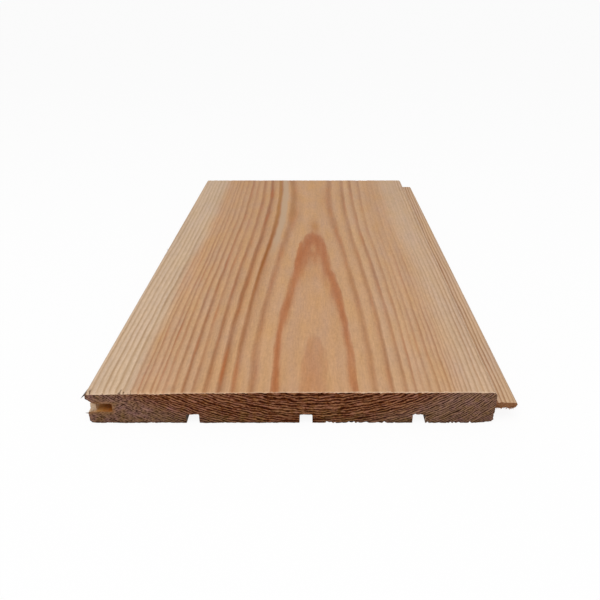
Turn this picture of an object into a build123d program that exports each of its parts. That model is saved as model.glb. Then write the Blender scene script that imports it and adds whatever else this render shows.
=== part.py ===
"""Planed tongue-and-groove profile board: one length of softwood, milled from one plank.

Millimetres. The board lies on its back: X runs across it, from the groove edge to the tongue edge,
Y runs along the grain and Z goes up to the show face. The origin is under the middle of the board.
The section is one moulded outline, and the board is that outline carried along its length.
"""

import os

from build123d import *

# Overall sizes
LENGTH = 260.0
COVER_WIDTH = 138.25        # from the groove edge's nose to the tongue's shoulder
THICKNESS = 12.5

# Tongue and groove, with depths measured down from the show face
TONGUE_LENGTH = 7.75        # how far the tongue stands out from its shoulder
TONGUE_TIP_RADIUS = 1.2
TONGUE_ROOT_RADIUS = 0.5
GROOVE_ROOF_DEPTH = 4.6
GROOVE_HEIGHT = 3.15
GROOVE_CORNER_RADIUS = 0.4
JOINT_CLEARANCE = 0.15      # left above and below the tongue in the next board's groove
GROOVE_END_CLEARANCE = 0.85 # left between the tongue's tip and the groove's end

# Upper lip of the groove: a blunt nose whose underside slopes in to the groove's roof
LIP_NOSE_DEPTH = 2.6
LIP_BEVEL_RUN = 2.45

# Edges
FACE_ARRIS_RADIUS = 1.6
BACK_ARRIS_RADIUS = 0.8
LOWER_LIP_SETBACK = 0.3     # lets the faces close before the backs touch
LOWER_LIP_RADIUS = 0.4

# Relief grooves in the back
RELIEF_COUNT = 3
RELIEF_PITCH = 38.6
RELIEF_FIRST = 35.5         # from the nose to the middle of the first groove
RELIEF_WIDTH = 4.4
RELIEF_DEPTH = 3.5
RELIEF_CORNER_RADIUS = 0.4

# Places that follow from the sizes above
NOSE_X = -(COVER_WIDTH + TONGUE_LENGTH) / 2
SHOULDER_X = NOSE_X + COVER_WIDTH
TIP_X = SHOULDER_X + TONGUE_LENGTH
GROOVE_END_X = NOSE_X + TONGUE_LENGTH + GROOVE_END_CLEARANCE
LOWER_LIP_X = NOSE_X + LOWER_LIP_SETBACK
NOSE_FOOT_Z = THICKNESS - LIP_NOSE_DEPTH
GROOVE_ROOF_Z = THICKNESS - GROOVE_ROOF_DEPTH
GROOVE_FLOOR_Z = GROOVE_ROOF_Z - GROOVE_HEIGHT
TONGUE_TOP_Z = GROOVE_ROOF_Z - JOINT_CLEARANCE
TONGUE_FOOT_Z = GROOVE_FLOOR_Z + JOINT_CLEARANCE
BACK_Z = 0.0
SHARP = 0.0


def groove_edge():
    """Corners of the groove edge as (x, z, radius), from the back up to the show face."""
    return [
        (LOWER_LIP_X, BACK_Z, BACK_ARRIS_RADIUS),
        (LOWER_LIP_X, GROOVE_FLOOR_Z, LOWER_LIP_RADIUS),
        (GROOVE_END_X, GROOVE_FLOOR_Z, GROOVE_CORNER_RADIUS),
        (GROOVE_END_X, GROOVE_ROOF_Z, GROOVE_CORNER_RADIUS),
        (NOSE_X + LIP_BEVEL_RUN, GROOVE_ROOF_Z, SHARP),
        (NOSE_X, NOSE_FOOT_Z, SHARP),
        (NOSE_X, THICKNESS, FACE_ARRIS_RADIUS),
    ]


def tongue_edge():
    """Corners of the tongue edge as (x, z, radius), from the show face down to the back.

    The tongue stands square on its shoulder; the next board's sloping lip leaves a gap over its root.
    """
    return [
        (SHOULDER_X, THICKNESS, FACE_ARRIS_RADIUS),
        (SHOULDER_X, TONGUE_TOP_Z, TONGUE_ROOT_RADIUS),
        (TIP_X, TONGUE_TOP_Z, TONGUE_TIP_RADIUS),
        (TIP_X, TONGUE_FOOT_Z, TONGUE_TIP_RADIUS),
        (SHOULDER_X, TONGUE_FOOT_Z, TONGUE_ROOT_RADIUS),
        (SHOULDER_X, BACK_Z, BACK_ARRIS_RADIUS),
    ]


def relief_groove(number):
    """Corners of one relief groove as (x, z, radius), from its tongue side to its groove side."""
    middle = NOSE_X + RELIEF_FIRST + number * RELIEF_PITCH
    near, far = middle + RELIEF_WIDTH / 2, middle - RELIEF_WIDTH / 2
    return [
        (near, BACK_Z, SHARP),
        (near, RELIEF_DEPTH, RELIEF_CORNER_RADIUS),
        (far, RELIEF_DEPTH, RELIEF_CORNER_RADIUS),
        (far, BACK_Z, SHARP),
    ]


def section():
    """The board's cross-section: one closed outline with its corners rounded."""
    corners = groove_edge() + tongue_edge()
    for number in reversed(range(RELIEF_COUNT)):
        corners += relief_groove(number)
    points = [(x, z) for x, z, _ in corners]
    radii = [radius for _, _, radius in corners]
    return make_face(FilletPolyline(*points, radius=radii, close=True))


def planed_board():
    """The section carried half the length each way from the middle, with square sawn ends."""
    return extrude(Plane.XZ * section(), amount=LENGTH / 2, both=True)


os.makedirs("parts", exist_ok=True)
board = planed_board()
board.label = "planed_board"
export_step(board, "parts/planed_board.step")
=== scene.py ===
"""Looks of a short planed profile board in larch, lying face up on a pale studio floor.

The board's surface is its milled section carried along the grain, closed at both ends by a sawn face.
Every finish reads one field of growth rings, so a ring runs on from the face over the edge to the end.
Sizes are in millimetres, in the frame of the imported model: X across the board towards the tongue,
Y along the grain away from the near end, Z up from the back to the show face.
"""

import math

import bpy
import numpy as np
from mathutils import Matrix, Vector
from mathutils.geometry import delaunay_2d_cdt


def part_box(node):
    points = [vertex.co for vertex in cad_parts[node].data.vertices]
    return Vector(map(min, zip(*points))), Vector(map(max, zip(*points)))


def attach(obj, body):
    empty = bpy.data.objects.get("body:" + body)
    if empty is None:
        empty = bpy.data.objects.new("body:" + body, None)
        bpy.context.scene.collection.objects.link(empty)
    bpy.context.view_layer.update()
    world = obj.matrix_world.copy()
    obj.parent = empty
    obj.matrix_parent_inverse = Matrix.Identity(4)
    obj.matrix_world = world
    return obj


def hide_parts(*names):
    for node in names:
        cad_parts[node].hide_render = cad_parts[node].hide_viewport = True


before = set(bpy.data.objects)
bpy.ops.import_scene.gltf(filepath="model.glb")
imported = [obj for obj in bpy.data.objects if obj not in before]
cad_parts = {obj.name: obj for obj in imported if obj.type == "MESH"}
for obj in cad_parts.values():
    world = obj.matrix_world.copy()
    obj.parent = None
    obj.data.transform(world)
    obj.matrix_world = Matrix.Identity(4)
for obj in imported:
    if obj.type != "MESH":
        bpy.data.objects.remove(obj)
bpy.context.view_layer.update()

MM = 0.001

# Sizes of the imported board
board_low, board_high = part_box("planed_board")
HALF_LENGTH = board_high.y / MM
THICKNESS = board_high.z / MM
NOSE_X = board_low.x / MM
TIP_X = board_high.x / MM

# The milled section, as in the part
TONGUE_LENGTH = 7.75
TONGUE_TIP_RADIUS = 1.2
TONGUE_ROOT_RADIUS = 0.5
GROOVE_ROOF_DEPTH = 4.6
GROOVE_HEIGHT = 3.15
GROOVE_CORNER_RADIUS = 0.4
JOINT_CLEARANCE = 0.15
GROOVE_END_CLEARANCE = 0.85
LIP_NOSE_DEPTH = 2.6
LIP_BEVEL_RUN = 2.45
FACE_ARRIS_RADIUS = 1.6
BACK_ARRIS_RADIUS = 0.8
LOWER_LIP_SETBACK = 0.3
LOWER_LIP_RADIUS = 0.4
RELIEF_COUNT = 3
RELIEF_PITCH = 38.6
RELIEF_FIRST = 35.5
RELIEF_WIDTH = 4.4
RELIEF_DEPTH = 3.5
RELIEF_CORNER_RADIUS = 0.4
SHOULDER_X = TIP_X - TONGUE_LENGTH

# How finely the surfaces are divided
OUTLINE_STEP = 0.3
ARC_STEPS = 6
END_STEP = 0.36
END_ZONE = 4.0
END_ZONE_STATIONS = 11
MIDDLE_STATIONS = 12
SHARP_ANGLE = 38.0

# Seeds of the random draws
END_SCATTER_SEED = 4
NEAR_BITES_SEED = 11
FAR_BITES_SEED = 17
NEAR_SAW_SEED = 21
TORN_TONGUE_SEED = 25
FAR_SAW_SEED = 31
FUZZ_SEED = 41
FLAKE_EDGE_SEED = 51
FLAKE_FACE_SEED = 53

# Damage at the ends: how deep it goes, and how far the edge's bites reach along the board and over the end
TORN_BACK_AT_FOOT = 1.9
TORN_BACK_LESS_AT_TOP = 0.8
FAR_BITES = 0.2
WORN_TONGUE_CORNER = 0.8
WORN_GROOVE_CORNER = 0.45
WORN_FACE_EDGE = 0.85
BITES_REACH_ALONG = 1.1
BITES_REACH_OVER_END = 1.8

# Growth rings: the stem's pith lies above the show face and sways a little along the board
PITH_HEIGHT = 92.5
PITH_SWAY = 1.0
PITH_SWAY_LENGTH = 380.0
PITH_SWAY_START = -17.0
PITH_X = 3.0
PITH_DRIFT = -0.009
UNEVEN_GROWTH = 0.001
FIRST_RING_RADIUS = 80.22
RINGS_PER_MM = 0.59
RINGS_TIGHTEN = 0.0066
RINGS_PER_MM_INSIDE = 0.73
LATEWOOD_EDGE = 0.2
FIRST_RING_DRAWN_IN = 0.11
FIRST_RING_SWELL = 0.28
SWELL_Y = 14.0
SWELL_REACH = 30.0
INNER_DIP = 0.27
TONGUE_SIDE_SPREAD = 0.00057
FLAME_LEAN = 1.7
FLAME_TIP_Y = 29.0
FLAME_CORE_Y = -1.0
BROAD_LIMBS_Y = -52.0

# Darkness of latewood by the distance in from a ring's outer edge, as a share of the dark band's width
LATEWOOD_CURVE = [(0.0, 0.2), (0.1, 0.72), (0.2, 1.0), (0.3, 0.85), (0.42, 0.45), (0.58, 0.14), (0.8, 0.0)]
LATEWOOD_MEAN = 0.3


def linear(red, green, blue):
    """A colour picked as 0 to 255 screen values, as the shader's linear values with full alpha."""
    part = np.array([red, green, blue]) / 255.0
    value = np.where(part <= 0.04045, part / 12.92, ((part + 0.055) / 1.055) ** 2.4)
    return (*value.tolist(), 1.0)


# Colours of the wood
HEART_EARLY = linear(197, 154, 115)
HEART_LATE = linear(158, 106, 68)
FLAME = linear(168, 102, 60)
SAP_EARLY = linear(208, 180, 152)
SAP_LATE = linear(170, 136, 102)
MILLED_SAP_LATE = linear(142, 98, 64)
RESIN = linear(146, 86, 28)
AMBER = linear(170, 120, 56)
PALE_STREAK = linear(192, 163, 134)
# Painted highlight along the show face's near edge
PAINTED_EDGE_HIGHLIGHT = linear(226, 196, 168)
NICK = linear(84, 56, 34)
# Painted light in the tongue groove: warm bounce light on its walls and roof, and painted shade deeper in
GROOVE_BOUNCE_LIGHT = linear(178, 126, 58)
GROOVE_DEEP_SHADE = linear(150, 88, 14)
GROOVE_ROOF_BOUNCE_LIGHT = linear(192, 118, 26)
GROOVE_STAIN = linear(158, 112, 62)
# Painted shade: the relief grooves' inner walls darkened in colour, standing in for the shadow inside them
PAINTED_HOLLOW_SHADE = linear(40, 24, 14)
SAWN_HEART = linear(101, 53, 26)
SAWN_HEART_DARK = linear(48, 14, 3)
SAWN_HEART_LIGHT = linear(204, 148, 116)
SAWN_SAP = linear(127, 93, 77)
SAWN_SAP_LIGHT = linear(178, 138, 114)
SAWN_SAP_DARK = linear(60, 37, 27)
SAWN_OLIVE = linear(104, 76, 34)
TORN_TONGUE = linear(158, 106, 66)
# Painted shade: grey for the torn fibres on the shadow side, past the groove's edge
FIBRE_PAINTED_SHADE = linear(92, 88, 86)
FIBRE_PALE = linear(196, 168, 140)


def soft_noise(u, v, seed):
    """Smooth noise from -1 to 1: random values on a unit grid, blended by 3t^2 - 2t^3 between them."""
    cells = 256
    grid = np.random.default_rng(seed).uniform(-1.0, 1.0, (cells, cells))
    column, row = np.floor(u), np.floor(v)
    a, b = u - column, v - row
    a, b = a * a * (3.0 - 2.0 * a), b * b * (3.0 - 2.0 * b)
    i, j = column.astype(int) % cells, row.astype(int) % cells
    i_next, j_next = (i + 1) % cells, (j + 1) % cells
    near = grid[i, j] * (1.0 - a) + grid[i_next, j] * a
    far = grid[i, j_next] * (1.0 - a) + grid[i_next, j_next] * a
    return near * (1.0 - b) + far * b


def section_corners():
    """Corners of the section as rows of x, z and corner radius, clockwise from the lower lip's foot."""
    lower_lip = NOSE_X + LOWER_LIP_SETBACK
    groove_end = NOSE_X + TONGUE_LENGTH + GROOVE_END_CLEARANCE
    nose_foot = THICKNESS - LIP_NOSE_DEPTH
    roof = THICKNESS - GROOVE_ROOF_DEPTH
    floor = roof - GROOVE_HEIGHT
    tongue_top = roof - JOINT_CLEARANCE
    tongue_foot = floor + JOINT_CLEARANCE
    edges = [
        (lower_lip, 0.0, BACK_ARRIS_RADIUS),
        (lower_lip, floor, LOWER_LIP_RADIUS),
        (groove_end, floor, GROOVE_CORNER_RADIUS),
        (groove_end, roof, GROOVE_CORNER_RADIUS),
        (NOSE_X + LIP_BEVEL_RUN, roof, 0.0),
        (NOSE_X, nose_foot, 0.0),
        (NOSE_X, THICKNESS, FACE_ARRIS_RADIUS),
        (SHOULDER_X, THICKNESS, FACE_ARRIS_RADIUS),
        (SHOULDER_X, tongue_top, TONGUE_ROOT_RADIUS),
        (TIP_X, tongue_top, TONGUE_TIP_RADIUS),
        (TIP_X, tongue_foot, TONGUE_TIP_RADIUS),
        (SHOULDER_X, tongue_foot, TONGUE_ROOT_RADIUS),
        (SHOULDER_X, 0.0, BACK_ARRIS_RADIUS),
    ]
    middle = NOSE_X + RELIEF_FIRST + RELIEF_PITCH * np.arange(RELIEF_COUNT)[::-1, None]
    x = middle + RELIEF_WIDTH / 2 * np.array([1.0, 1.0, -1.0, -1.0])
    z = np.broadcast_to(RELIEF_DEPTH * np.array([0.0, 1.0, 1.0, 0.0]), x.shape)
    radius = np.broadcast_to(RELIEF_CORNER_RADIUS * np.array([0.0, 1.0, 1.0, 0.0]), x.shape)
    reliefs = np.stack([x, z, radius], axis=-1).reshape(-1, 3)
    return np.concatenate([np.array(edges), reliefs])


def rounded_outline(corners, step):
    """Closed outline of straight runs and tangent arcs, divided into pieces no longer than step.

    With h half the angle at a corner, an arc of radius r starts and ends r / tan(h) from the corner,
    about a centre r / sin(h) along the bisector, and its points turn evenly from start to end.
    """
    point, radius = corners[:, :2], corners[:, 2:]
    to_last = np.roll(point, 1, axis=0) - point
    to_next = np.roll(point, -1, axis=0) - point
    to_last /= np.linalg.norm(to_last, axis=1, keepdims=True)
    to_next /= np.linalg.norm(to_next, axis=1, keepdims=True)
    half = 0.5 * np.arccos(np.sum(to_last * to_next, axis=1, keepdims=True))
    bisector = to_last + to_next
    bisector /= np.linalg.norm(bisector, axis=1, keepdims=True)
    centre = point + bisector * radius / np.sin(half)
    start = point + to_last * radius / np.tan(half) - centre
    end = point + to_next * radius / np.tan(half) - centre
    turn = (math.pi - 2.0 * half)[:, :, None]
    share = np.linspace(0.0, 1.0, ARC_STEPS + 1)[None, :, None]
    swing = start[:, None] * np.sin((1.0 - share) * turn) + end[:, None] * np.sin(share * turn)
    rounded = (centre[:, None] + swing / np.sin(turn)).reshape(-1, 2)
    following = np.roll(rounded, -1, axis=0)
    apart = np.linalg.norm(following - rounded, axis=1) > 1e-6
    rounded = rounded[apart]
    run = np.roll(rounded, -1, axis=0) - rounded
    parts = np.maximum(1, np.ceil(np.linalg.norm(run, axis=1) / step)).astype(int)
    which = np.repeat(np.arange(len(parts)), parts)
    place = (np.arange(parts.sum()) - np.repeat(np.cumsum(parts) - parts, parts)) / parts[which]
    return rounded[which] + run[which] * place[:, None]


def outward_of(outline):
    """Unit vectors out of the section at each outline point: the line between its neighbours, turned left."""
    along = np.roll(outline, -1, axis=0) - np.roll(outline, 1, axis=0)
    along /= np.linalg.norm(along, axis=1, keepdims=True)
    return np.stack([-along[:, 1], along[:, 0]], axis=1)


def inside(points, outline):
    """Whether each point lies in the outline: a line to its right crosses it an odd number of times."""
    x, z = points[:, :1], points[:, 1:]
    x0, z0 = outline[:, 0], outline[:, 1]
    x1, z1 = np.roll(x0, -1), np.roll(z0, -1)
    rise = np.where(z1 == z0, 1.0, z1 - z0)
    crossing = x0 + (z - z0) * (x1 - x0) / rise
    crossed = ((z0 > z) != (z1 > z)) & (crossing > x)
    return crossed.sum(axis=1) % 2 == 1


def end_points(outline, step):
    """Points over the sawn end: a staggered grid with a little scatter, kept clear of the outline.

    Returned with the number of each point's nearest outline point and the distance to it.
    """
    x = np.arange(NOSE_X, TIP_X, step)
    z = np.arange(0.0, THICKNESS, step * 0.866)
    grid_x, grid_z = np.meshgrid(x, z)
    grid_x = grid_x + 0.5 * step * (np.arange(len(z)) % 2)[:, None]
    points = np.stack([grid_x.ravel(), grid_z.ravel()], axis=1)
    points = points + np.random.default_rng(END_SCATTER_SEED).uniform(-0.22, 0.22, points.shape) * step
    points = points[inside(points, outline)]
    gaps = np.linalg.norm(points[:, None] - outline[None], axis=2)
    nearest = gaps.argmin(axis=1)
    gap = gaps.min(axis=1)
    clear = gap > 0.55 * step
    return points[clear], nearest[clear], gap[clear]


def ring_place(x, z):
    """Distance from the pith and length around it, for points of a cross-section."""
    across = x - PITH_X
    down = PITH_HEIGHT - z
    return np.hypot(across, down), np.arctan2(across, down) * (PITH_HEIGHT - THICKNESS)


def saw_depth(x, z, seed):
    """How deep the saw and torn fibres leave the sawn end below its plane.

    Fine noise drawn out along the rings gives the torn rows, and coarse noise the dips between them.
    """
    radius, around = ring_place(x, z)
    rows = soft_noise(around / 1.3, radius / 0.42, seed)
    dips = soft_noise(around / 6.0, radius / 2.2, seed + 1)
    specks = soft_noise(x / 0.4, z / 0.4, seed + 2)
    return np.clip(0.16 + 0.10 * rows + 0.07 * dips + 0.06 * specks, 0.0, None)


def torn_tongue(x, z, seed):
    """How far the tongue's end is torn back: nothing at the shoulder, and more down the tongue."""
    share = np.clip((x - SHOULDER_X + 0.1) / 0.6, 0.0, 1.0)
    height = np.clip((z - 4.9) / 2.9, 0.0, 1.0)
    jagged = 0.3 * soft_noise(x / 0.9, z / 0.7, seed)
    return share * (TORN_BACK_AT_FOOT - TORN_BACK_LESS_AT_TOP * height + jagged)


def near_depth(points):
    """How deep the near end lies below its plane, from the saw and from the torn tongue."""
    x, z = points[:, 0], points[:, 1]
    return saw_depth(x, z, NEAR_SAW_SEED) + torn_tongue(x, z, TORN_TONGUE_SEED)


def far_depth(points):
    """How deep the far end lies below its plane, from the saw alone."""
    return saw_depth(points[:, 0], points[:, 1], FAR_SAW_SEED)


def edge_nibble(outline, seed, ragged):
    """How far the saw has broken the edge of the end away, along the inward normal.

    Noise along the outline, kept only where it is strong.
    """
    length = np.linalg.norm(np.roll(outline, -1, axis=0) - outline, axis=1)
    around = np.cumsum(length) - length
    bites = soft_noise(around / 0.6, np.full_like(around, 0.5), seed)
    broad = soft_noise(around / 4.0, np.full_like(around, 0.5), seed + 1)
    return np.clip(bites + 0.6 * broad - 0.05, 0.0, 1.0) * ragged


def near_raggedness(outline):
    """Depth of the bites around the near end: deep along the right half of the back and under the tongue."""
    x, z = outline[:, 0], outline[:, 1]
    ragged = np.full(len(outline), 0.16)
    ragged = np.where((z < RELIEF_DEPTH + 0.1) & (x > 30.0), 0.5, ragged)
    ragged = np.where((z < 0.3) & (x > 8.0), 0.9, ragged)
    ragged = np.where((z < 5.4) & (x > SHOULDER_X), 0.6, ragged)
    return np.where((z > THICKNESS - 0.1), 0.32, ragged)


def near_wear(outline):
    """How much is worn away at the near end: the back's outer corners, and the face towards the groove."""
    x, z = outline[:, 0], outline[:, 1]
    tongue_corner = WORN_TONGUE_CORNER * np.clip((x - SHOULDER_X + 8.0) / 8.0, 0.0, 1.0) ** 2
    groove_corner = WORN_GROOVE_CORNER * np.clip((NOSE_X + 3.0 - x) / 3.0, 0.0, 1.0)
    face_edge = WORN_FACE_EDGE * np.clip((-8.0 - x) / 63.0, 0.0, 1.0) ** 1.2
    worn_face = np.where(z > THICKNESS - 0.5, face_edge, 0.0)
    return np.where(z < 1.0, tongue_corner + groove_corner, worn_face)


def board_stations():
    """Places along the grain where the section is repeated: close at both ends, wide between them."""
    inner = HALF_LENGTH - END_ZONE
    close = np.linspace(0.0, END_ZONE, END_ZONE_STATIONS) ** 1.5 / END_ZONE ** 0.5
    middle = np.linspace(-inner, inner, MIDDLE_STATIONS)[1:-1]
    return np.concatenate([-HALF_LENGTH + close, middle, HALF_LENGTH - close[::-1]])


def mesh_object(name, vertices, faces, materials, indices, uv=None):
    """A new object from vertices in millimetres, faces as vertex lists and a material index per face."""
    mesh = bpy.data.meshes.new(name)
    mesh.from_pydata((np.asarray(vertices) * MM).tolist(), [], faces)
    for material in materials:
        mesh.materials.append(material)
    mesh.polygons.foreach_set("material_index", np.asarray(indices, dtype=np.int32))
    mesh.polygons.foreach_set("use_smooth", np.ones(len(faces), dtype=bool))
    if uv is not None:
        layer = mesh.uv_layers.new(name="OFBake")
        layer.data.foreach_set("uv", np.asarray(uv, dtype=np.float32).ravel())
    mesh.set_sharp_from_angle(angle=math.radians(SHARP_ANGLE))
    mesh.validate()
    piece = bpy.data.objects.new(name, mesh)
    bpy.context.scene.collection.objects.link(piece)
    return piece


def end_triangles(flat, count):
    """Triangles over a sawn end's points, the first count of them its outline, all turned the same way."""
    ring = [(i, (i + 1) % count) for i in range(count)]
    _, _, cells, origins, _, _ = delaunay_2d_cdt(flat.tolist(), ring, [], 1, 1e-5)
    source = np.array([which[0] for which in origins])
    cells = source[np.array([tuple(cell) for cell in cells])]
    a, b, c = flat[cells[:, 0]], flat[cells[:, 1]], flat[cells[:, 2]]
    area = (b[:, 0] - a[:, 0]) * (c[:, 1] - a[:, 1]) - (b[:, 1] - a[:, 1]) * (c[:, 0] - a[:, 0])
    return np.where(area[:, None] > 0.0, cells, cells[:, ::-1])


def board_surface(materials):
    """The whole board: its section carried along the stations, and a sawn face closing each end."""
    outline = rounded_outline(section_corners(), OUTLINE_STEP)
    outward = outward_of(outline)
    stations = board_stations()
    count = len(outline)
    rows = len(stations)
    near_bites = edge_nibble(outline, NEAR_BITES_SEED, near_raggedness(outline)) + near_wear(outline)
    far_bites = edge_nibble(outline, FAR_BITES_SEED, FAR_BITES)
    ends = [(-1.0, near_bites, near_depth), (1.0, far_bites, far_depth)]

    # The milled sides, with both ends of the outline nibbled by the saw
    nibble = np.zeros((rows, count))
    y = stations[:, None]
    for sign, bites, depth in ends:
        inwards = (HALF_LENGTH - sign * stations)[:, None]
        nibble = nibble + np.clip(1.0 - inwards / BITES_REACH_ALONG, 0.0, 1.0) * bites
        y = y - sign * np.clip(1.0 - inwards / END_ZONE, 0.0, 1.0) * depth(outline)
    section = outline[None] - outward[None] * nibble[:, :, None]
    x, z = section[:, :, 0], section[:, :, 1]
    sides = np.stack([x, y, np.maximum(z, 0.0)], axis=-1).reshape(-1, 3)
    index = np.arange(rows * count).reshape(rows, count)
    turned = np.roll(index, -1, axis=1)
    quads = np.stack([index[:-1], turned[:-1], turned[1:], index[1:]], axis=-1).reshape(-1, 4)

    # The sawn ends, one triangulation used for both; points near the edge follow its bites
    points, nearest, gap = end_points(outline, END_STEP)
    flat = np.concatenate([outline, points])
    cells = end_triangles(flat, count)
    follow = np.clip(1.0 - gap / BITES_REACH_OVER_END, 0.0, 1.0)[:, None] * outward[nearest]
    vertices = [sides]
    faces = quads.tolist()
    for (sign, bites, depth), edge, order in zip(ends, (index[0], index[-1]), (1, -1)):
        bitten = points - follow * bites[nearest][:, None]
        end_y = sign * (HALF_LENGTH - depth(points))
        first = sum(len(part) for part in vertices)
        corners = np.concatenate([edge, first + np.arange(len(points))])
        vertices.append(np.stack([bitten[:, 0], end_y, bitten[:, 1]], axis=1))
        faces += corners[cells[:, ::order]].tolist()

    # Finishes: the show face with its arrises, the other milled sides, the sawn ends
    middle = 0.5 * (outline + np.roll(outline, -1, axis=0))
    on_face = (middle[:, 1] > THICKNESS - FACE_ARRIS_RADIUS) & (middle[:, 0] < SHOULDER_X + 0.01)
    finish = np.tile(np.where(on_face, 0, 1), rows - 1)
    indices = np.concatenate([finish, np.full(2 * len(cells), 2)])
    uv = unrolled(outline, stations, flat, cells)
    return mesh_object("planed_board_wood", np.concatenate(vertices), faces, materials, indices, uv)


def fibre_spikes(base, tip, width):
    """Torn fibres: each a slim spike on a triangle of the given width around its base, closed behind.

    The triangle's corners turn by thirds of a circle about the line from base to tip.
    """
    along = tip - base
    along = along / np.linalg.norm(along, axis=1, keepdims=True)
    level = np.cross(along, np.array([0.3, 0.2, 1.0]))
    level = level / np.linalg.norm(level, axis=1, keepdims=True)
    upright = np.cross(along, level)
    turn = 2.0 * math.pi / 3.0 * np.arange(3)[None, :, None]
    around = np.cos(turn) * level[:, None] + np.sin(turn) * upright[:, None]
    corners = base[:, None] + 0.5 * width[:, None, None] * around
    vertices = np.concatenate([corners, tip[:, None]], axis=1)
    pattern = np.array([(0, 2, 1), (0, 1, 3), (1, 2, 3), (2, 0, 3)])
    faces = (4 * np.arange(len(base)))[:, None, None] + pattern[None]
    return vertices.reshape(-1, 3), faces.reshape(-1, 3)


def tongue_fuzz(count, seed):
    """Bases, tips and widths of the short fibres hanging along the lower edge of the tongue's near end."""
    pick = np.random.default_rng(seed)
    foot = THICKNESS - GROOVE_ROOF_DEPTH - GROOVE_HEIGHT + JOINT_CLEARANCE
    x = pick.uniform(SHOULDER_X + 0.6, TIP_X - 1.0, count)
    y = pick.uniform(-HALF_LENGTH + 1.5, -HALF_LENGTH + 2.4, count)
    base = np.stack([x, y, np.full(count, foot + 0.3)], axis=1)
    reach = pick.uniform(-1.0, 1.0, (count, 3)) * np.array([0.6, 0.3, 0.3]) + np.array([0.0, -0.3, -0.35])
    return base, base + reach, np.full(count, 0.34)


# Splinters the saw left standing, each with its base, its tip and its width
SPLINTERS = [
    ((-72.3, -126.4, 11.4), (-74.4, -130.0, 10.2), 1.5),
    ((-72.4, -129.3, 3.8), (-73.8, -129.9, 4.3), 0.8),
    ((-72.7, 2.0, 10.6), (-74.2, 1.6, 10.9), 0.7),
    ((-72.7, -5.0, 10.4), (-73.9, -5.2, 10.4), 0.8),
]


def groove_flake():
    """The flake left standing across the groove's mouth at the near end: a thin pillow over a rectangle.

    Its two skins stand apart by sin(pi s) sin(pi t), so they meet all round its edge.
    """
    steps = 12
    s, t = np.meshgrid(np.linspace(0.0, 1.0, steps), np.linspace(0.0, 1.0, steps))
    lean = 0.25 * soft_noise(3.0 * t, np.full_like(t, 0.5), FLAKE_EDGE_SEED)
    x = NOSE_X + 1.35 + 1.6 * s + lean * (1.0 - s)
    z = THICKNESS - GROOVE_ROOF_DEPTH - GROOVE_HEIGHT - 0.2 + (GROOVE_HEIGHT + 0.5) * t
    y = -HALF_LENGTH + 0.45 + 0.5 * s + 0.12 * soft_noise(4.0 * s, 4.0 * t, FLAKE_FACE_SEED)
    swell = 0.3 * np.sin(math.pi * s) * np.sin(math.pi * t)
    front = np.stack([x, y - swell, z], axis=-1).reshape(-1, 3)
    back = np.stack([x, y + swell, z], axis=-1).reshape(-1, 3)
    index = np.arange(steps * steps).reshape(steps, steps)
    rim = np.ones((steps, steps), dtype=bool)
    rim[1:-1, 1:-1] = False
    behind = np.where(rim, index, index + steps * steps)

    def skin(grid):
        corners = [grid[:-1, :-1], grid[:-1, 1:], grid[1:, 1:], grid[1:, :-1]]
        return np.stack(corners, axis=-1).reshape(-1, 4)

    return np.concatenate([front, back]), skin(index).tolist() + skin(behind)[:, ::-1].tolist()


def torn_fibres(material):
    """The splinters, the fuzz under the tongue and the flake in the groove, as one piece of wood."""
    base, tip, width = tongue_fuzz(46, FUZZ_SEED)
    base = np.concatenate([base, np.array([row[0] for row in SPLINTERS])])
    tip = np.concatenate([tip, np.array([row[1] for row in SPLINTERS])])
    width = np.concatenate([width, np.array([row[2] for row in SPLINTERS])])
    spikes, spike_faces = fibre_spikes(base, tip, width)
    flake, flake_faces = groove_flake()
    vertices = np.concatenate([spikes, flake])
    faces = spike_faces.tolist() + [[corner + len(spikes) for corner in face] for face in flake_faces]
    return mesh_object("planed_board_fibres", vertices, faces, [material], np.zeros(len(faces)))


def unrolled(outline, stations, flat, cells):
    """Map for baking: the sides rolled out flat below, and the two sawn ends enlarged above them."""
    length = np.linalg.norm(np.roll(outline, -1, axis=0) - outline, axis=1)
    start = np.cumsum(length) - length
    whole = length.sum()
    gap = 3.0
    u = np.stack([start, start + length, start + length, start], axis=1)
    u = np.broadcast_to(u, (len(stations) - 1, *u.shape))
    low, high = stations[:-1] + HALF_LENGTH, stations[1:] + HALF_LENGTH
    v = np.stack([low, low, high, high], axis=1)[:, None, :]
    v = np.broadcast_to(v, u.shape)
    enlarge = whole / (TIP_X - NOSE_X + gap)
    base = 2.0 * HALF_LENGTH + gap
    end_u = (flat[cells][:, :, 0] - NOSE_X) * enlarge
    end_v = flat[cells][:, :, 1] * enlarge
    above = THICKNESS * enlarge + gap
    sides = np.stack([u, v], axis=-1).reshape(-1, 2)
    near = np.stack([end_u, base + end_v], axis=-1).reshape(-1, 2)
    far = np.stack([end_u[:, ::-1], base + above + end_v[:, ::-1]], axis=-1).reshape(-1, 2)
    return np.concatenate([sides, near, far]) / (whole + gap) + 0.002


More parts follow.
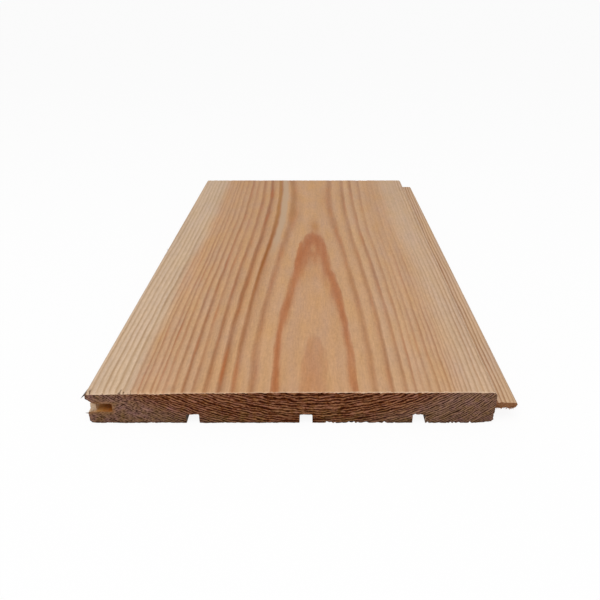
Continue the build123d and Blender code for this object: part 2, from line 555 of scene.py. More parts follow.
class Wiring:
    """Adds nodes to one tree. Each method places nodes, joins their inputs and returns an output."""

    def __init__(self, tree):
        self.tree = tree

    def join(self, socket, value):
        if isinstance(value, bpy.types.NodeSocket):
            self.tree.links.new(value, socket)
        else:
            socket.default_value = value

    def node(self, kind, values=None, **settings):
        """A new node with its settings, and with values given to inputs by their name or number."""
        made = self.tree.nodes.new(kind)
        for name, setting in settings.items():
            setattr(made, name, setting)
        for socket, value in (values or {}).items():
            self.join(made.inputs[socket], value)
        return made

    def group(self, tree, **values):
        return self.node("ShaderNodeGroup", values, node_tree=tree).outputs

    def math(self, operation, *values, clamp=False):
        inputs = dict(enumerate(values))
        return self.node("ShaderNodeMath", inputs, operation=operation, use_clamp=clamp).outputs[0]

    def times(self, first, second, clamp=False):
        return self.math("MULTIPLY", first, second, clamp=clamp)

    def plus(self, first, second, clamp=False):
        return self.math("ADD", first, second, clamp=clamp)

    def minus(self, first, second, clamp=False):
        return self.math("SUBTRACT", first, second, clamp=clamp)

    def times_plus(self, value, factor, added, clamp=False):
        return self.math("MULTIPLY_ADD", value, factor, added, clamp=clamp)

    def split(self, vector):
        return self.node("ShaderNodeSeparateXYZ", {0: vector}).outputs

    def gather(self, x, y, z):
        return self.node("ShaderNodeCombineXYZ", {0: x, 1: y, 2: z}).outputs[0]

    def scaled(self, vector, factors):
        return self.node("ShaderNodeVectorMath", {0: vector, 1: factors}, operation="MULTIPLY").outputs[0]

    def in_mm(self, position):
        return self.scaled(position, (1.0 / MM,) * 3)

    def noise(self, vector, detail=2.0, roughness=0.5):
        inputs = {"Vector": vector, "Scale": 1.0, "Detail": detail, "Roughness": roughness}
        return self.node("ShaderNodeTexNoise", inputs).outputs[0]

    def grain_noise(self, place, across, along, detail=2.0, roughness=0.5):
        """Noise with patches of these sizes across and along the grain."""
        return self.noise(self.scaled(place, (1 / across, 1 / along, 1 / across)), detail, roughness)

    def fade(self, value, start, end):
        """0 before start, 1 past end, smooth between; start may be the larger."""
        inputs = {0: value, 1: start, 2: end}
        return self.node("ShaderNodeMapRange", inputs, interpolation_type="SMOOTHSTEP").outputs[0]

    def curve(self, value, stops, interpolation="LINEAR"):
        """A value read from stops of (place, value)."""
        made = self.node("ShaderNodeValToRGB", {0: value})
        ramp = made.color_ramp
        ramp.interpolation = interpolation
        for place, _ in stops[2:]:
            ramp.elements.new(place)
        for element, (place, level) in zip(ramp.elements, stops):
            element.position = place
            element.color = (level, level, level, 1.0)
        return made.outputs[0]

    def mix(self, factor, first, second):
        """first where factor is 0, second where it is 1."""
        return self.node("ShaderNodeMix", {0: factor, 2: first, 3: second}, data_type="FLOAT").outputs[0]

    def blend(self, factor, first, second, mode="MIX"):
        inputs = {0: factor, 6: first, 7: second}
        return self.node("ShaderNodeMix", inputs, data_type="RGBA", blend_type=mode).outputs[2]

    def tint(self, base, colour, mask, share):
        """base, turned towards colour by this share of the mask."""
        return self.blend(self.times(mask, share), base, colour)

    def shaded(self, colour, red, green, blue):
        """colour with its three parts multiplied."""
        return self.blend(1.0, colour, self.gather(red, green, blue), "MULTIPLY")


def shader_group(name, inputs, outputs):
    """An empty node group with named sockets: Position is a vector, each other name a number.

    Returns its wiring, what it is given and what it gives out.
    """
    tree = bpy.data.node_groups.new(name, "ShaderNodeTree")
    for in_out, sockets in (("INPUT", inputs), ("OUTPUT", outputs)):
        for socket in sockets:
            kind = "NodeSocketVector" if socket == "Position" else "NodeSocketFloat"
            tree.interface.new_socket(socket, in_out=in_out, socket_type=kind)
    entry = tree.nodes.new("NodeGroupInput")
    leave = tree.nodes.new("NodeGroupOutput")
    return Wiring(tree), entry.outputs, leave.inputs


# Growth rings outwards from the flame's: where each lies, counted in even rings, and how dark its latewood is
GROOVE_SIDE_RINGS = [
    (0.0, 0.82), (0.95, 0.68), (2.0, 0.88), (3.05, 1.05), (4.15, 0.84), (5.2, 0.62), (6.25, 0.97), (7.3, 0.8),
    (8.35, 0.68), (9.25, 0.7), (9.8, 0.68), (10.95, 0.6), (11.55, 0.6), (12.4, 0.6), (13.65, 0.82),
    (14.7, 0.76), (15.75, 0.62), (16.75, 0.72), (17.8, 0.55), (18.8, 0.7),
]
TONGUE_SIDE_RINGS = [
    (0.0, 0.82), (0.9, 0.6), (2.0, 0.68), (3.1, 0.74), (4.05, 0.56), (4.8, 0.42), (5.45, 0.58), (6.55, 0.65),
    (7.25, 0.45), (8.0, 0.68), (8.65, 0.58), (9.25, 0.45), (9.75, 0.52), (10.6, 0.6), (11.3, 0.64),
    (12.45, 0.66), (13.5, 0.78), (14.5, 0.74), (15.6, 0.76),
]

# Darkness of the ring inside the flame's
RING_INSIDE = 0.37

# Past each list the rings lie evenly; their darkness from this ring on
EDGE_RINGS_FROM = 17
EDGE_RINGS = (0.6, 0.8, 0.75, 0.85, 0.7, 0.72, 0.55, 0.4, 0.8, 0.5, 0.8)
RINGS_COUNTED = 32.0


def ring_numbers(wires, even, rings):
    """Ring number read from where each ring lies: it rises by one from each ring to the next.

    Returned with a function that gives the darkness of a numbered ring.
    """
    first_even = math.ceil(rings[-1][0] + 0.5)
    last = EDGE_RINGS_FROM + len(EDGE_RINGS)
    rows = rings + [(n, EDGE_RINGS[n - EDGE_RINGS_FROM]) for n in range(first_even, last)]
    places = [(place, number) for number, (place, _) in enumerate(rows)]
    places.insert(1, (LATEWOOD_EDGE, LATEWOOD_EDGE))
    stops = [(place / RINGS_COUNTED, number / RINGS_COUNTED) for place, number in places]
    share = wires.curve(wires.math("DIVIDE", even, RINGS_COUNTED), stops)
    darkness = [RING_INSIDE] + [dark for _, dark in rows]

    def strength(level):
        return wires.curve(level, [(k / RINGS_COUNTED, dark) for k, dark in enumerate(darkness)], "CONSTANT")

    return wires.times(share, RINGS_COUNTED), strength


def bell(wires, value, middle, reach):
    """exp(-((value - middle) / reach)^2)."""
    off = wires.times(wires.minus(value, middle), 1.0 / reach)
    return wires.math("EXPONENT", wires.times(wires.times(off, off), -1.0))


def around_the_pith(wires, place):
    """How points lie about the swaying pith.

    Returns the distance to its side, the same after wandering, the depth below it, the distance from it,
    stretched a little to one side, and the slow noise of the wandering.
    """
    x, y, z = wires.split(place)
    swing = wires.minus(y, PITH_SWAY_START)
    swing = wires.math("SINE", wires.times(swing, 2.0 * math.pi / PITH_SWAY_LENGTH))
    pith_z = wires.times_plus(swing, PITH_SWAY, PITH_HEIGHT)
    pith_x = wires.times_plus(y, PITH_DRIFT, PITH_X)
    side = wires.minus(x, pith_x)
    slow = wires.grain_noise(place, 14, 60, detail=1.0)
    quick = wires.grain_noise(place, 2.5, 16)
    wander = wires.times_plus(slow, 1.6, -0.8)
    wander = wires.plus(wander, wires.times_plus(quick, 0.7, -0.35))
    moved = wires.plus(side, wander)
    point = wires.times(bell(wires, y, 26.0, 20.0), bell(wires, side, 0.0, 6.5))
    moved = wires.times_plus(point, -FLAME_LEAN, moved)
    across = wires.times_plus(wires.times(moved, moved), UNEVEN_GROWTH, moved)
    down = wires.minus(pith_z, z)
    square = wires.plus(wires.times(across, across), wires.times(down, down))
    return side, moved, down, wires.math("SQRT", square), slow


def sapwood_share(wires, ring, slow, tongue_side):
    """Sapwood: faint and then sharp on the groove side, and creeping in on the tongue side."""
    uneven = wires.times_plus(slow, 3.0, ring)
    faint = wires.times(wires.fade(ring, 4.0, 7.0), 0.13)
    sharp = wires.math("MAXIMUM", wires.fade(uneven, 12.4, 15.4), faint)
    creeping = wires.times(wires.fade(ring, 0.8, 2.4), 0.17)
    creeping = wires.times_plus(wires.fade(ring, 7.5, 12.5), 0.55, creeping)
    return wires.mix(tongue_side, sharp, creeping)


def growth_rings():
    """Node group of the growth rings around the swaying pith.

    Rings are first counted as if they tightened evenly outwards from the flame's. Each side of the flame
    then has its own list of where its rings lie and how dark they are. Within a ring, latewood follows
    LATEWOOD_CURVE inwards from the ring's outer edge.
    """
    wires, given, out = shader_group(
        "Growth rings", ("Position",), ("Latewood", "Sapwood", "Ring", "Radius", "Around", "Side")
    )
    place = wires.in_mm(given["Position"])
    _, y, _ = wires.split(place)
    side, moved, down, radius, slow = around_the_pith(wires, place)
    beyond = wires.minus(radius, FIRST_RING_RADIUS)
    ripple = wires.grain_noise(place, 6, 16)
    beyond = wires.plus(beyond, wires.times_plus(ripple, 0.22, -0.11))

    # The first ring is drawn in, but swells at the flame's point; the ring inside it dips at the near end
    first = wires.fade(beyond, 1.4, 0.5)
    at_point = bell(wires, y, SWELL_Y, SWELL_REACH)
    swell = wires.times_plus(at_point, -FIRST_RING_SWELL, FIRST_RING_DRAWN_IN)
    beyond = wires.times_plus(first, swell, beyond)
    near = wires.fade(wires.times(y, -1.0), 70.0, 135.0)
    deep = wires.times(near, wires.fade(wires.times(beyond, -1.0), 0.5, 1.0))
    beyond = wires.times_plus(deep, -INNER_DIP, beyond)

    outer = wires.math("MAXIMUM", beyond, 0.0)
    inner = wires.math("MINIMUM", beyond, 0.0)
    even = wires.times(outer, wires.times_plus(outer, RINGS_TIGHTEN, RINGS_PER_MM))
    ring = wires.times_plus(inner, RINGS_PER_MM_INSIDE, even)

    # Each side has its own rings; on the tongue side they spread towards the far end
    tongue_side = wires.fade(side, -10.0, 10.0)
    spread = wires.times_plus(wires.plus(y, HALF_LENGTH), -TONGUE_SIDE_SPREAD, 1.0)
    spread = wires.mix(wires.fade(even, 2.5, 5.5), 1.0, spread)
    groove_count, groove_strength = ring_numbers(wires, even, GROOVE_SIDE_RINGS)
    tongue_count, tongue_strength = ring_numbers(wires, wires.times(even, spread), TONGUE_SIDE_RINGS)
    count = wires.mix(tongue_side, groove_count, tongue_count)
    count = wires.times_plus(inner, RINGS_PER_MM_INSIDE, count)
    shifted = wires.minus(count, LATEWOOD_EDGE)
    number = wires.math("FLOOR", shifted)
    level = wires.math("DIVIDE", wires.plus(number, 2.5), RINGS_COUNTED)
    strength = wires.mix(tongue_side, groove_strength(level), tongue_strength(level))

    # Latewood, read inwards from each ring's outer edge; the flame's own has a loose edge and a narrow band
    from_edge = wires.minus(1.0, wires.math("FRACT", shifted))
    loose = wires.grain_noise(place, 3.0, 22)
    from_edge = wires.plus(from_edge, wires.times(first, wires.times_plus(loose, 0.24, -0.12)))
    width = wires.times_plus(strength, 0.5, 0.7)
    broad = wires.times_plus(bell(wires, y, BROAD_LIMBS_Y, 28.0), 0.2, -0.35)
    width = wires.times_plus(first, broad, width)
    late = wires.curve(wires.math("DIVIDE", from_edge, width), LATEWOOD_CURVE)
    late = wires.mix(wires.times(first, 0.4), late, wires.fade(late, 0.1, 0.8))

    # The lines are patchy along the grain, and past the first few rings they fade towards the far end
    patchy = wires.grain_noise(place, 4, 35, detail=1.0)
    strength = wires.times(strength, wires.times_plus(patchy, 1.0, 0.52))
    groove_faint = wires.times(wires.fade(y, -80.0, 110.0), 0.42)
    tongue_faint = wires.times(wires.fade(y, -110.0, 60.0), 0.75)
    faint = wires.mix(tongue_side, groove_faint, tongue_faint)
    faint = wires.times(faint, wires.times(wires.fade(count, 3.5, 5.5), wires.fade(side, 61.0, 57.0)))
    late = wires.mix(faint, late, LATEWOOD_MEAN)
    burning = wires.times(first, at_point)
    strength = wires.times_plus(burning, 0.16, strength)
    late = wires.times(late, strength, clamp=True)

    # The flame has a pale core, and its faint tip runs on past its point
    core = wires.times(bell(wires, moved, 0.0, 1.8), bell(wires, y, FLAME_CORE_Y, 6.0))
    late = wires.times_plus(core, -0.4, late, clamp=True)
    tip = wires.times(bell(wires, moved, 0.0, 2.6), bell(wires, y, FLAME_TIP_Y, 13.0))
    late = wires.math("MAXIMUM", late, wires.times(tip, 0.45))
    within_flame = wires.times(wires.fade(ring, 0.0, -0.5), 0.06)
    wires.join(out["Latewood"], wires.math("MAXIMUM", late, within_flame))

    wires.join(out["Sapwood"], sapwood_share(wires, ring, slow, tongue_side))
    wires.join(out["Ring"], ring)
    wires.join(out["Radius"], radius)
    angle = wires.math("ARCTAN2", side, down)
    wires.join(out["Around"], wires.times(angle, PITH_HEIGHT - THICKNESS))
    wires.join(out["Side"], side)
    return wires.tree


def fibre_streaks():
    """Node group of the fine fibres along the grain: noise drawn out along Y, fine and coarse."""
    wires, given, out = shader_group(
        "Fibre streaks", ("Position", "Coarseness"), ("Tone", "Hue", "Brown", "Height")
    )
    place = wires.in_mm(given["Position"])
    fine = wires.grain_noise(place, 0.5, 6, detail=3.0, roughness=0.6)
    short = wires.grain_noise(place, 0.8, 1.6, roughness=0.6)
    broad = wires.grain_noise(place, 3.0, 60)
    tone = wires.times_plus(wires.minus(broad, 0.5), 0.6, wires.minus(fine, 0.5))
    wires.join(out["Tone"], wires.times_plus(wires.minus(short, 0.5), 0.8, tone))
    brown = wires.grain_noise(place, 2.5, 28, detail=1.0)
    wires.join(out["Brown"], wires.fade(brown, 0.25, 0.55))
    hue = wires.grain_noise(place, 6.0, 26)
    wires.join(out["Hue"], wires.minus(hue, 0.5))
    wires.join(out["Height"], wires.times(wires.plus(fine, short), given["Coarseness"]))
    return wires.tree


def resin_streaks():
    """Node group of the streaks beside the flame on the groove side, between the second and third rings.

    Resin is the dark line on the third ring, Amber the lines on both and the flame's tip, Pale the band
    between the lines.
    """
    wires, given, out = shader_group(
        "Resin streaks", ("Position", "Ring", "Side"), ("Resin", "Amber", "Pale")
    )
    _, y, _ = wires.split(wires.in_mm(given["Position"]))
    groove_side = wires.fade(wires.times(given["Side"], -1.0), 3.0, 8.0)
    ring = given["Ring"]
    third = wires.times(groove_side, bell(wires, ring, 2.0, 0.14))
    wires.join(out["Resin"], wires.times(third, bell(wires, y, -12.0, 52.0)))
    far = wires.fade(y, 10.0, 60.0)
    second = wires.times(groove_side, bell(wires, ring, 1.0, 0.15))
    lines = wires.times_plus(second, 0.4, third, clamp=True)
    tip = wires.times(bell(wires, given["Side"], 1.5, 2.2), bell(wires, y, FLAME_TIP_Y + 5.0, 8.0))
    lines = wires.times(lines, far)
    wires.join(out["Amber"], wires.times_plus(tip, 0.55, lines, clamp=True))
    within = wires.times(wires.fade(ring, 1.2, 1.4), wires.fade(ring, 1.85, 1.65))
    band = wires.times(within, groove_side)
    wires.join(out["Pale"], wires.times(band, wires.fade(y, -25.0, 25.0)))
    return wires.tree


def edge_highlight_and_nicks():
    """Node group of the show face beside the near end: a painted highlight along the edge, and dark nicks the
    saw left.
    """
    wires, given, out = shader_group("Edge highlight and nicks", ("Position",), ("Pale", "Nick"))
    place = wires.in_mm(given["Position"])
    x, y, _ = wires.split(place)
    from_end = wires.plus(y, HALF_LENGTH)
    uneven_width = wires.noise(wires.scaled(place, (1 / 0.8, 1 / 3.0, 1.0)), detail=2.0)
    reach = wires.times_plus(uneven_width, 1.6, 0.1)
    near = wires.minus(1.0, wires.math("DIVIDE", from_end, reach), clamp=True)
    right = wires.times_plus(wires.fade(x, -30.0, 30.0), 1.6, 0.8)
    # Painted highlight: a pale strip along the near edge, wider towards the tongue side
    wires.join(out["Pale"], wires.times(near, right, clamp=True))
    spots = wires.noise(wires.scaled(place, (1 / 0.75, 1 / 6.0, 1.0)), detail=0.0)
    spots = wires.fade(spots, 0.66, 0.72)
    close = wires.fade(from_end, 2.6, 0.8)
    corner = wires.fade(x, -48.0, -58.0)
    wires.join(out["Nick"], wires.times(spots, wires.times(close, corner)))
    return wires.tree


def milled_hollows():
    """Node group of painted light in the hollows: painted warm bounce light in the tongue groove, darkening
    inwards as painted shade, and painted shade up in the relief grooves.

    Rim is a stain on the sawn end around the tongue groove, fading with the distance from its walls.
    """
    wires, given, out = shader_group(
        "Milled hollows", ("Position",), ("Amber", "Depth", "Roof", "Rim", "Painted shade")
    )
    x, _, z = wires.split(wires.in_mm(given["Position"]))
    into = wires.minus(x, NOSE_X)
    groove_floor = THICKNESS - GROOVE_ROOF_DEPTH - GROOVE_HEIGHT
    above_floor = wires.fade(z, groove_floor - 0.3, groove_floor - 0.1)
    below_roof = wires.math("LESS_THAN", z, THICKNESS - GROOVE_ROOF_DEPTH + 0.2)
    height = wires.times(above_floor, below_roof)
    in_groove = wires.times(height, wires.math("LESS_THAN", into, TONGUE_LENGTH + 2.0))
    # Painted bounce light: where the tongue groove's colour is replaced, from 1 mm inside its mouth
    wires.join(out["Amber"], wires.times(in_groove, wires.fade(into, 1.0, 4.0)))
    # Painted shade: grows with the distance into the groove
    wires.join(out["Depth"], wires.fade(into, 3.0, 7.0))
    wires.join(out["Roof"], wires.fade(z, groove_floor + 0.2, groove_floor + 0.6))
    past_end = wires.math("MAXIMUM", wires.minus(into, TONGUE_LENGTH + GROOVE_END_CLEARANCE), 0.0)
    level = wires.math("ABSOLUTE", wires.minus(z, groove_floor + 0.5 * GROOVE_HEIGHT))
    past_wall = wires.math("MAXIMUM", wires.minus(level, 0.5 * GROOVE_HEIGHT), 0.0)
    wires.join(out["Rim"], wires.fade(wires.plus(past_end, past_wall), 1.5, 0.1))
    from_first = wires.minus(into, RELIEF_FIRST - 0.5 * RELIEF_PITCH)
    off = wires.minus(wires.math("MODULO", from_first, RELIEF_PITCH), 0.5 * RELIEF_PITCH)
    off = wires.math("ABSOLUTE", off)
    in_relief = wires.math("LESS_THAN", off, 0.5 * RELIEF_WIDTH + 0.05)
    between = wires.times(wires.math("GREATER_THAN", into, 20.0), wires.math("LESS_THAN", into, 125.0))
    in_relief = wires.times(in_relief, between)
    # Painted shade: mask that darkens the relief grooves' colour where shadow falls inside them
    wires.join(out["Painted shade"], wires.times(in_relief, wires.fade(z, 0.1, 0.6)))
    return wires.tree


# Spacing of the torn rows across the rings of the sawn ends
ROWS_PER_MM = 0.78
ROWS_TIGHTEN = 0.013
ROW_SWAY = 1.8


def torn_end_grain():
    """Node group of the sawn end: wavering rows of torn fibre along the rings.

    A sine wave across the rings, its phase and its height disturbed by noise drawn out along them, with
    specks added: Dark is its troughs, where fibres are torn out, and Light its crests, where they stand.
    Tone is the dark back edge, Olive a few broad patches, Stain a drift from olive below 0 to mauve above it.
    """
    wires, given, out = shader_group(
        "Torn end grain", ("Position", "Radius", "Around"), ("Dark", "Light", "Tone", "Olive", "Stain")
    )
    place = wires.in_mm(given["Position"])

    def along_rings(length, depth):
        """Noise drawn out along the rings."""
        spot = wires.gather(wires.math("DIVIDE", given["Around"], length),
                            wires.math("DIVIDE", given["Radius"], depth), 0.0)
        return wires.noise(spot, detail=1.0)

    out_from_flame = wires.minus(given["Radius"], FIRST_RING_RADIUS)
    closer = wires.times_plus(out_from_flame, ROWS_TIGHTEN, ROWS_PER_MM)
    rows = wires.times(out_from_flame, closer)
    rows = wires.times_plus(along_rings(4.0, 1.5), ROW_SWAY, rows)
    wave = wires.math("SINE", wires.times(rows, 2.0 * math.pi))
    height = wires.times_plus(wires.fade(along_rings(1.6, 0.9), 0.32, 0.58), 0.95, 0.35)
    specks = wires.noise(wires.scaled(place, (1 / 0.7, 1 / 0.6, 1 / 0.45)), detail=1.0)
    x, _, z = wires.split(place)
    fuzzy = wires.fade(x, -40.0, -58.0)
    height = wires.times(height, wires.times_plus(fuzzy, -0.5, 1.0))
    specks = wires.times(wires.minus(specks, 0.5), wires.times_plus(fuzzy, 2.0, 2.2))
    ridge = wires.times_plus(wave, height, specks)
    wires.join(out["Dark"], wires.times(ridge, -1.0, clamp=True))
    wires.join(out["Light"], wires.times(ridge, 1.0, clamp=True))
    rim = wires.times_plus(wires.fade(z, 0.1, 1.0), 0.35, 0.65)
    wires.join(out["Tone"], wires.times(rim, wires.times_plus(wires.fade(z, 0.0, 7.0), 0.14, 0.86)))
    patch = wires.noise(wires.scaled(place, (1 / 4.0,) * 3), detail=2.0)
    low = wires.fade(z, 9.0, 2.0)
    wires.join(out["Olive"], wires.times(wires.fade(patch, 0.45, 0.65), low))
    stain = wires.noise(wires.scaled(place, (1 / 2.4,) * 3), detail=2.0)
    wires.join(out["Stain"], wires.minus(stain, 0.5))
    return wires.tree


def new_material(name):
    """A material with its Principled shader; returns it with its wiring, shader and object position."""
    material = bpy.data.materials.new(name)
    material.use_nodes = True
    wires = Wiring(material.node_tree)
    shader = material.node_tree.nodes["Principled BSDF"]
    position = wires.node("ShaderNodeTexCoord").outputs["Object"]
    return material, wires, shader, position


def over_the_edge(wires, position):
    """The position, lifted to the face's level where its fibres bend down over the worn near edge."""
    x, y, z = wires.split(position)
    at_end = wires.math("LESS_THAN", y, (1.2 - HALF_LENGTH) * MM)
    near_face = wires.math("GREATER_THAN", z, (THICKNESS - 1.5) * MM)
    bent = wires.times(at_end, near_face)
    return wires.gather(x, y, wires.mix(bent, z, THICKNESS * MM))


def raised(wires, shader, height):
    """Lets the light follow a height given in millimetres."""
    bump = wires.node("ShaderNodeBump", {"Distance": MM, "Height": height})
    wires.join(shader.inputs["Normal"], bump.outputs[0])


def larch(name, rings, fibres, coarseness, tone_depth, sap_late):
    """Planed larch: heartwood and sapwood, latewood lines, fine fibres, latewood a little proud.

    Returns the material, its wiring, its shader, the object position, the rings and the wood's colour.
    """
    material, wires, shader, position = new_material(name)
    ring = wires.group(rings, Position=over_the_edge(wires, position))
    fibre = wires.group(fibres, Position=position, Coarseness=coarseness)
    early = wires.blend(ring["Sapwood"], HEART_EARLY, SAP_EARLY)
    browner = wires.times(wires.fade(ring["Ring"], 0.3, 0.8), fibre["Brown"])
    late = wires.blend(browner, FLAME, HEART_LATE)
    late = wires.blend(ring["Sapwood"], late, sap_late)
    wood = wires.blend(ring["Latewood"], early, late)
    shade = wires.times_plus(fibre["Tone"], tone_depth, 1.0)
    hue = wires.times(fibre["Hue"], wires.times_plus(ring["Sapwood"], -0.6, 1.0))
    warmer = wires.times_plus(hue, 0.12, shade)
    cooler = wires.times_plus(hue, -0.5, shade)
    wood = wires.shaded(wood, warmer, shade, cooler)
    rough = wires.times_plus(ring["Latewood"], -0.12, 0.66)
    wires.join(shader.inputs["Roughness"], rough)
    shader.inputs["Specular IOR Level"].default_value = 0.12
    height = wires.times_plus(ring["Latewood"], 0.03, wires.times(fibre["Height"], 0.02))
    raised(wires, shader, height)
    return material, wires, shader, position, ring, wood


def planed_face(rings, fibres):
    """The show face: resin streaks beside the flame, a painted highlight along the near edge, and the saw's
    nicks there.
    """
    material, wires, shader, position, ring, wood = larch(
        "planed_face", rings, fibres, coarseness=0.5, tone_depth=0.4, sap_late=SAP_LATE
    )
    streak = wires.group(resin_streaks(), Position=position, Ring=ring["Ring"], Side=ring["Side"])
    wood = wires.tint(wood, PALE_STREAK, streak["Pale"], 0.8)
    wood = wires.tint(wood, AMBER, streak["Amber"], 0.65)
    wood = wires.tint(wood, RESIN, streak["Resin"], 0.95)
    edge = wires.group(edge_highlight_and_nicks(), Position=position)
    # Painted highlight along the near edge
    wood = wires.tint(wood, PAINTED_EDGE_HIGHLIGHT, edge["Pale"], 0.6)
    wood = wires.tint(wood, NICK, edge["Nick"], 0.8)
    wires.join(shader.inputs["Base Color"], wood)
    return material


def milled_sides(rings, fibres, hollows):
    """The milled edges and back: stronger lines in the sapwood, painted bounce light and shade in the tongue
    groove, painted shade in the relief grooves.
    """
    material, wires, shader, position, _, wood = larch(
        "milled_sides", rings, fibres, coarseness=1.2, tone_depth=0.3, sap_late=MILLED_SAP_LATE
    )
    shader.inputs["Specular IOR Level"].default_value = 0.04
    hollow = wires.group(hollows, Position=position)
    # Painted warm bounce light in the tongue groove, with painted shade deeper in
    groove_light_and_shade = wires.blend(hollow["Depth"], GROOVE_BOUNCE_LIGHT, GROOVE_DEEP_SHADE)
    groove_light_and_shade = wires.blend(hollow["Roof"], groove_light_and_shade, GROOVE_ROOF_BOUNCE_LIGHT)
    wood = wires.tint(wood, groove_light_and_shade, hollow["Amber"], 0.9)
    # Painted shade in the relief grooves, darkening their colour
    wood = wires.tint(wood, PAINTED_HOLLOW_SHADE, hollow["Painted shade"], 0.85)
    wires.join(shader.inputs["Base Color"], wood)
    return material


def sawn_ends(rings, hollows):
    """Sawn end grain: dark, with wavering rows of torn fibre; the tongue's torn end is lighter."""
    material, wires, shader, position = new_material("sawn_ends")
    ring = wires.group(rings, Position=position)
    grain = wires.group(
        torn_end_grain(), Position=position, Radius=ring["Radius"], Around=ring["Around"]
    )
    sap = wires.fade(wires.times_plus(ring["Side"], 0.06, ring["Ring"]), 6.3, 13.5)
    wood = wires.blend(sap, SAWN_HEART, SAWN_SAP)
    wood = wires.tint(wood, SAWN_OLIVE, grain["Olive"], 0.6)
    wood = wires.blend(grain["Dark"], wood, wires.blend(sap, SAWN_HEART_DARK, SAWN_SAP_DARK))
    light = wires.blend(sap, SAWN_HEART_LIGHT, SAWN_SAP_LIGHT)
    wood = wires.tint(wood, light, grain["Light"], 0.37)
    mauve = wires.times_plus(grain["Stain"], 1.1, 0.97)
    redder = wires.times_plus(grain["Stain"], 0.12, 1.0)
    wood = wires.shaded(wood, redder, 1.0, mauve)
    wood = wires.shaded(wood, grain["Tone"], grain["Tone"], grain["Tone"])
    x, y, _ = wires.split(wires.in_mm(position))
    torn = wires.times(wires.fade(x, SHOULDER_X, SHOULDER_X + 0.8), wires.math("LESS_THAN", y, 0.0))
    wood = wires.tint(wood, TORN_TONGUE, torn, 0.7)
    hollow = wires.group(hollows, Position=position)
    wood = wires.tint(wood, GROOVE_STAIN, hollow["Rim"], 0.4)
    wires.join(shader.inputs["Base Color"], wood)
    shader.inputs["Roughness"].default_value = 0.85
    shader.inputs["Specular IOR Level"].default_value = 0.03
    raised(wires, shader, wires.times(grain["Dark"], -0.15))
    return material


def torn_wood():
    """Torn fibres: grey as painted shade where they stand out at the groove's edge, pale beige and brown
    elsewhere.
    """
    material, wires, shader, position = new_material("torn_fibres")
    x, _, _ = wires.split(wires.in_mm(position))
    outside = wires.fade(x, NOSE_X + 0.6, NOSE_X - 0.6)
    wood = wires.blend(wires.fade(x, 0.0, 10.0), FIBRE_PALE, TORN_TONGUE)
    # Painted shade: fibres past the groove's edge turn grey
    wood = wires.blend(outside, wood, FIBRE_PAINTED_SHADE)
    streak = wires.noise(wires.scaled(position, (1 / (0.4 * MM), 1 / (0.8 * MM), 1 / (0.8 * MM))), detail=2.0)
    shade = wires.times_plus(streak, 0.9, 0.5)
    wires.join(shader.inputs["Base Color"], wires.shaded(wood, shade, shade, shade))
    shader.inputs["Roughness"].default_value = 0.85
    shader.inputs["Specular IOR Level"].default_value = 0.15
    return material


# The studio
FLOOR_REACH = 25000.0
FLOOR_PAINT = (0.97, 0.97, 0.97, 1.0)
FLOOR_SHADOW_SHARE = 0.1
SKY_LEVEL = 0.41
SUN_LEVEL = 0.78
SUN_SPREAD = 75.0
SUN_TURN = (22.0, -4.0, 0.0)
LAMP_PLACE = (-60.0, -350.0, 650.0)
LAMP_SIZE = 500.0
LAMP_POWER = 1.95


def background_share(wires):
    """1 for rays that show the background itself: from the camera, mirrored or through glass."""
    ray = wires.node("ShaderNodeLightPath")
    seen = wires.plus(ray.outputs["Is Camera Ray"], ray.outputs["Is Glossy Ray"])
    return wires.plus(seen, ray.outputs["Is Transmission Ray"], clamp=True)


def studio_floor():
    """A wide pale floor under the board: part of it glows for the camera, so that its shadow stays light."""
    square = np.array([(-1.0, -1.0, 0.0), (1.0, -1.0, 0.0), (1.0, 1.0, 0.0), (-1.0, 1.0, 0.0)])
    material = bpy.data.materials.new("studio_floor")
    material.use_nodes = True
    wires = Wiring(material.node_tree)
    material.node_tree.nodes.clear()
    paint = wires.node("ShaderNodeBsdfDiffuse", {"Color": FLOOR_PAINT})
    glow = wires.node("ShaderNodeEmission")
    share = wires.times(background_share(wires), 1.0 - FLOOR_SHADOW_SHARE)
    mix = wires.node("ShaderNodeMixShader", {0: share, 1: paint.outputs[0], 2: glow.outputs[0]})
    wires.node("ShaderNodeOutputMaterial", {0: mix.outputs[0]})
    floor = mesh_object("studio_floor", FLOOR_REACH * square, [(0, 1, 2, 3)], [material], [0])


def studio_world():
    """Even light from all round, and white where the camera sees past the floor."""
    world = bpy.data.worlds.new("studio")
    world.use_nodes = True
    bpy.context.scene.world = world
    wires = Wiring(world.node_tree)
    background = world.node_tree.nodes["Background"]
    background.inputs["Color"].default_value = (1.0, 1.0, 1.0, 1.0)
    level = wires.times_plus(background_share(wires), 1.0 - SKY_LEVEL, SKY_LEVEL)
    wires.join(background.inputs["Strength"], level)


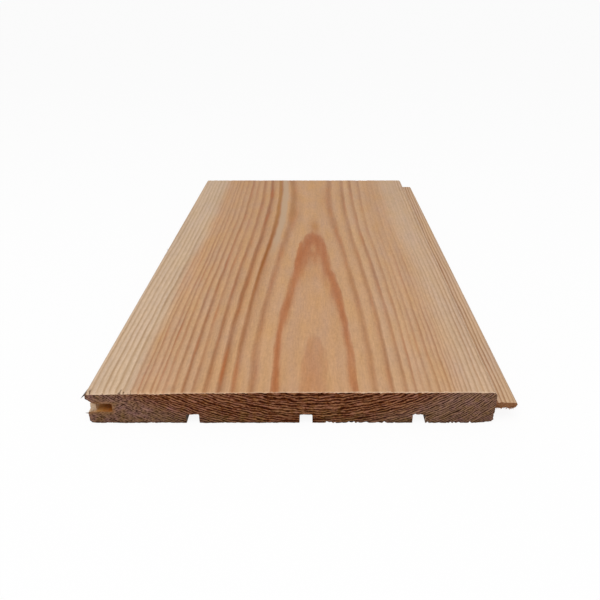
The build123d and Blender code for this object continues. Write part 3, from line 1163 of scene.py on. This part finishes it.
def hang_lamp(name, kind, power):
    """A new lamp in the scene, returned with the object that holds it."""
    lamp = bpy.data.lights.new(name, kind)
    lamp.energy = power
    holder = bpy.data.objects.new(name, lamp)
    bpy.context.scene.collection.objects.link(holder)
    return lamp, holder


def broad_lamp():
    """One very broad lamp from the front and above, so wide that its shadows stay soft."""
    lamp, holder = hang_lamp("broad_lamp", "SUN", SUN_LEVEL)
    lamp.angle = math.radians(SUN_SPREAD)
    holder.rotation_euler = [math.radians(turn) for turn in SUN_TURN]


def near_lamp():
    """A square softbox over the near end, so that the light falls off a little towards the far end."""
    lamp, holder = hang_lamp("near_lamp", "AREA", LAMP_POWER)
    lamp.size = LAMP_SIZE * MM
    holder.location = Vector(LAMP_PLACE) * MM
    holder.rotation_euler = (-holder.location).to_track_quat("-Z", "Y").to_euler()


# The camera, as the photograph was taken
IMAGE_WIDTH = 600.0
FOCAL_PIXELS = 608.4
PRINCIPAL_X = 314.97
CAMERA_PLACE = (4.18, -297.3, 131.05)
CAMERA_PITCH = 26.63
SENSOR_WIDTH = 36.0


def photograph_camera():
    """A camera level across, pitched down, with the small sideways shift of the photograph's framing."""
    lens = bpy.data.cameras.new("camera")
    lens.sensor_width = SENSOR_WIDTH
    lens.lens = SENSOR_WIDTH * FOCAL_PIXELS / IMAGE_WIDTH
    lens.shift_x = (0.5 * IMAGE_WIDTH - PRINCIPAL_X) / IMAGE_WIDTH
    lens.clip_start = 0.01
    lens.clip_end = 100.0
    camera = bpy.data.objects.new("camera", lens)
    camera.location = [value * MM for value in CAMERA_PLACE]
    camera.rotation_euler = (math.radians(90.0 - CAMERA_PITCH), 0.0, 0.0)
    bpy.context.scene.collection.objects.link(camera)
    bpy.context.scene.camera = camera


ring_group = growth_rings()
fibre_group = fibre_streaks()
hollow_group = milled_hollows()
finishes = [
    planed_face(ring_group, fibre_group),
    milled_sides(ring_group, fibre_group, hollow_group),
    sawn_ends(ring_group, hollow_group),
]
board = board_surface(finishes)
fibres = torn_fibres(torn_wood())
for piece in (board, fibres):
    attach(piece, "root")
    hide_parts("planed_board")

studio_floor()
studio_world()
broad_lamp()
near_lamp()
photograph_camera()
bpy.context.scene.view_settings.view_transform = "Standard"
